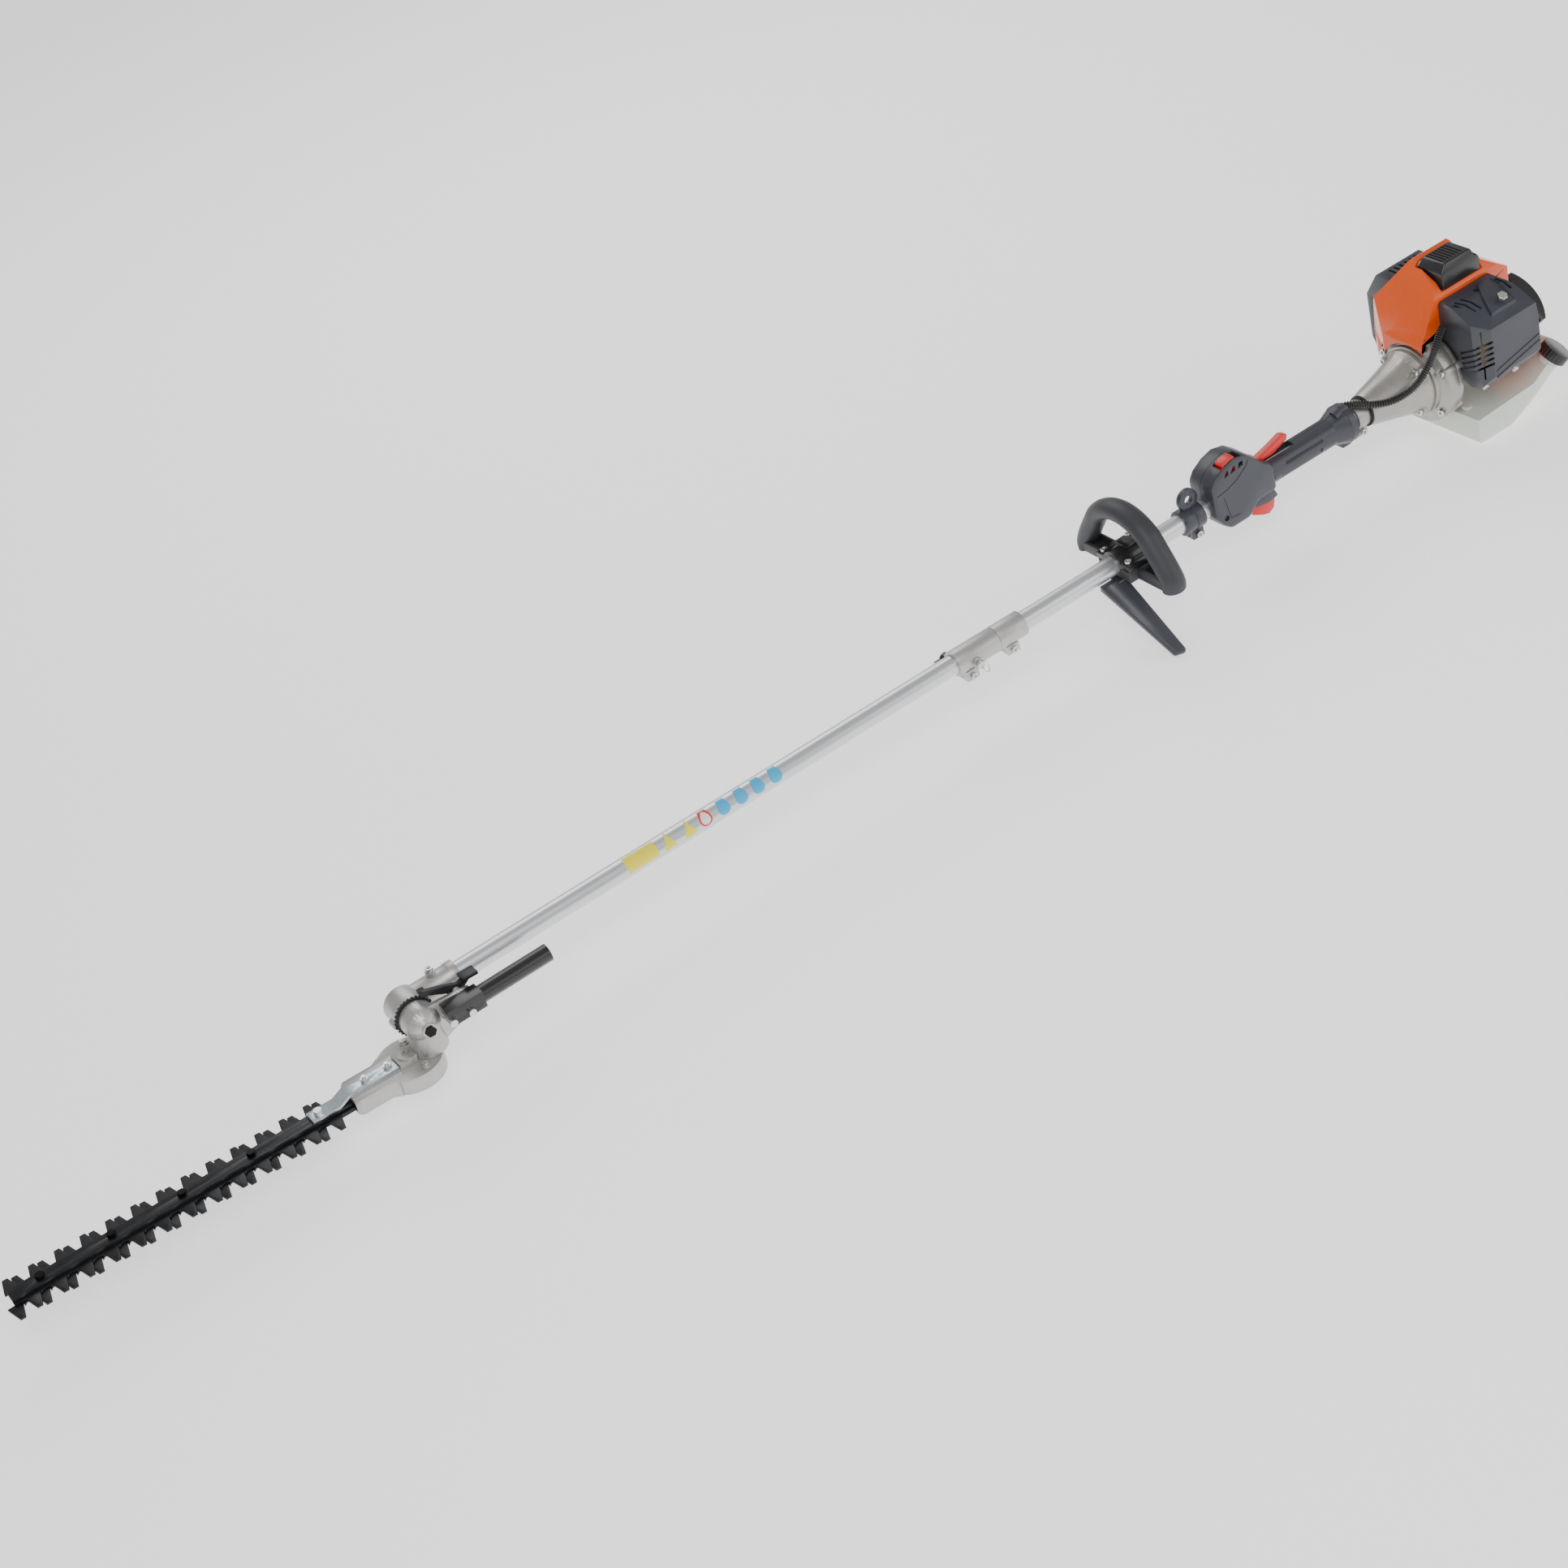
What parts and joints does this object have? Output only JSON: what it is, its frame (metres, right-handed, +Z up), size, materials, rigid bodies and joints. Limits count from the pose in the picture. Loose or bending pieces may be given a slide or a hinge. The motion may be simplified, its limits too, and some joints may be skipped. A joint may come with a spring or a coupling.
{
  "type": "long-reach petrol hedge trimmer",
  "caption": "Pole hedge trimmer: petrol engine, two-piece tube, loop and rear handles, tilting gearbox head with double-sided reciprocating blades.",
  "frame": {"origin": "centre of the harness eye, 28 mm above the pole axis", "axes": "+X along the pole towards the engine, +Y towards the silencer side, +Z up through the harness eye"},
  "size_m": [2.3663, 0.216, 0.256],
  "materials": {
    "anodised_tube": "satin anodised",
    "cast_alloy": "fine bead-blasted casting",
    "galvanised_steel": "zinc plated",
    "steel": "machined",
    "zinc_screws": "bright zinc",
    "black_steel": "black coated",
    "slate_plastic": "moulded with a fine grain",
    "black_plastic": "semi-gloss",
    "black_rubber": "matte",
    "grip_foam": "matte",
    "orange_plastic": "glossy",
    "red_plastic": "semi-gloss",
    "tank_plastic": "milky translucent",
    "white_nylon": "matte",
    "ceramic": "glazed",
    "filter_foam": "felt",
    "cast_iron": "rough",
    "silencer_steel": "heat-resistant coating"
  },
  "bodies": {
    "frame": {"lower_tube": "anodised_tube", "upper_tube": "anodised_tube", "shaft_bushes": "black_rubber", "coupler_front": "cast_alloy", "coupler_rear": "cast_alloy", "loop_handle": "grip_foam", "handle_clamp": "black_plastic", "barrier_bar": "slate_plastic", "harness_ring": "slate_plastic", "handle_left": "slate_plastic", "handle_right": "slate_plastic", "throttle_conduit": "black_plastic", "isolation_ring": "black_rubber", "clutch_housing": "cast_alloy", "socket_screws": "zinc_screws", "bearings": "steel", "fan_housing": "cast_alloy", "crankcase": "cast_alloy", "cylinder": "cast_alloy", "spark_plug": "ceramic", "muffler": "silencer_steel", "muffler_guard": "slate_plastic", "engine_shroud": "orange_plastic", "plug_cover": "black_plastic", "carburettor": "cast_alloy", "filter_element": "filter_foam", "filter_cover": "slate_plastic", "starter_housing": "orange_plastic", "fuel_tank": "tank_plastic", "head_sleeve": "cast_alloy", "index_plate": "black_steel"},
    "drive_line": {"upper_shaft": "steel", "lower_shaft": "steel", "clutch_drum": "steel"},
    "crank": {"crankshaft": "steel", "flywheel": "cast_alloy", "clutch_shoes": "cast_iron"},
    "piston": {"piston": "cast_alloy"},
    "starter_pulley": {"starter_pulley": "white_nylon"},
    "starter_grip": {"starter_grip": "black_plastic"},
    "fuel_cap": {"fuel_cap": "black_plastic"},
    "throttle_trigger": {"throttle_trigger": "red_plastic"},
    "lockout_lever": {"lockout_lever": "red_plastic"},
    "stop_switch": {"stop_switch": "red_plastic"},
    "coupler_knob": {"coupler_knob": "black_plastic"},
    "locating_pin": {"locating_pin": "zinc_screws"},
    "filter_knob": {"filter_knob": "zinc_screws"},
    "head": {"head_housing": "cast_alloy", "gearbox_case": "cast_alloy", "gearbox_cover": "cast_alloy", "head_bolts": "zinc_screws", "adjust_handle": "black_plastic", "bracket_strip": "galvanised_steel", "blade_bar": "black_steel"},
    "cross_shaft": {"cross_shaft": "steel"},
    "pinion_shaft": {"pinion_shaft": "steel"},
    "crank_gear": {"crank_gear": "steel"},
    "upper_blade": {"upper_blade": "black_steel"},
    "lower_blade": {"lower_blade": "black_steel"},
    "latch_lever": {"latch_lever": "black_steel"}
  },
  "joints": [
    {"name": "drive_spin", "type": "hinge", "parent": "frame", "child": "drive_line", "pos_m": [0, 0, -0.028], "axis": [1, 0, 0], "continuous": true},
    {"name": "cross_spin", "type": "hinge", "parent": "frame", "child": "cross_shaft", "pos_m": [-1.198, 0, -0.028], "axis": [0, 1, 0], "continuous": true},
    {"name": "pinion_spin", "type": "hinge", "parent": "head", "child": "pinion_shaft", "pos_m": [-1.198, -0.043, -0.028], "axis": [0.0436, 0, 0.999], "continuous": true},
    {"name": "crank_gear_spin", "type": "hinge", "parent": "head", "child": "crank_gear", "pos_m": [-1.22597, -0.043, -0.02678], "axis": [0.0436, 0, 0.999], "continuous": true},
    {"name": "crank_spin", "type": "hinge", "parent": "frame", "child": "crank", "pos_m": [0, 0, -0.028], "axis": [1, 0, 0], "continuous": true},
    {"name": "piston_slide", "type": "slide", "parent": "frame", "child": "piston", "axis": [0, 0, 1], "range_m": [-0.028, 0]},
    {"name": "pulley_spin", "type": "hinge", "parent": "frame", "child": "starter_pulley", "pos_m": [0, 0, -0.028], "axis": [1, 0, 0], "continuous": true},
    {"name": "starter_pull", "type": "slide", "parent": "frame", "child": "starter_grip", "axis": [1, 0, 0], "range_m": [0, 0.45]},
    {"name": "cap_turn", "type": "hinge", "parent": "frame", "child": "fuel_cap", "pos_m": [0.58, -0.051, -0.085], "axis": [0.524, -0.4067, 0.7483], "continuous": true},
    {"name": "trigger_squeeze", "type": "hinge", "parent": "frame", "child": "throttle_trigger", "pos_m": [0.102, 0, -0.05], "axis": [0, 1, 0], "range_deg": [-14, 0], "stiffness_Nm_per_rad": 0.6, "springref_deg": 2.86},
    {"name": "lockout_press", "type": "hinge", "parent": "frame", "child": "lockout_lever", "pos_m": [0.115, 0, -0.0045], "axis": [0, 1, 0], "range_deg": [0, 9], "stiffness_Nm_per_rad": 0.4, "springref_deg": -3.44},
    {"name": "switch_slide", "type": "slide", "parent": "frame", "child": "stop_switch", "axis": [1, 0, 0], "range_m": [0, 0.008]},
    {"name": "knob_turn", "type": "hinge", "parent": "frame", "child": "coupler_knob", "pos_m": [-0.384, 0, -0.035], "axis": [0, 1, 0], "continuous": true},
    {"name": "pin_pull", "type": "slide", "parent": "frame", "child": "locating_pin", "axis": [0, -1, 0], "range_m": [0, 0.006], "stiffness_N_per_m": 600, "springref_m": -0.003},
    {"name": "filter_knob_turn", "type": "hinge", "parent": "frame", "child": "filter_knob", "pos_m": [0.489, -0.077, 0.065], "axis": [0, -0.5, 0.866], "continuous": true},
    {"name": "head_tilt", "type": "hinge", "parent": "frame", "child": "head", "pos_m": [-1.198, 0, -0.028], "axis": [0, 1, 0], "range_deg": [-42.5, 90]},
    {"name": "upper_blade_slide", "type": "slide", "parent": "head", "child": "upper_blade", "axis": [0.999, 0, -0.0436], "range_m": [-0.01056, 0.0051]},
    {"name": "lower_blade_slide", "type": "slide", "parent": "head", "child": "lower_blade", "axis": [0.999, 0, -0.0436], "range_m": [-0.0051, 0.01056]},
    {"name": "latch_press", "type": "hinge", "parent": "head", "child": "latch_lever", "pos_m": [-1.14603, 0, -0.01826], "axis": [0, 1, 0], "range_deg": [0, 10], "stiffness_Nm_per_rad": 0.8, "springref_deg": -4.58}
  ],
  "couplings": [
    {"joint": "cross_spin", "follows": "drive_spin", "ratio": 1},
    {"joint": "pinion_spin", "follows": "drive_spin", "ratio": -1},
    {"joint": "crank_gear_spin", "follows": "drive_spin", "ratio": 0.33333},
    {"joint": "pulley_spin", "follows": "starter_pull", "rad_per_m": 41.667},
    {"joint": "lower_blade_slide", "follows": "upper_blade_slide", "ratio": -1}
  ]
}
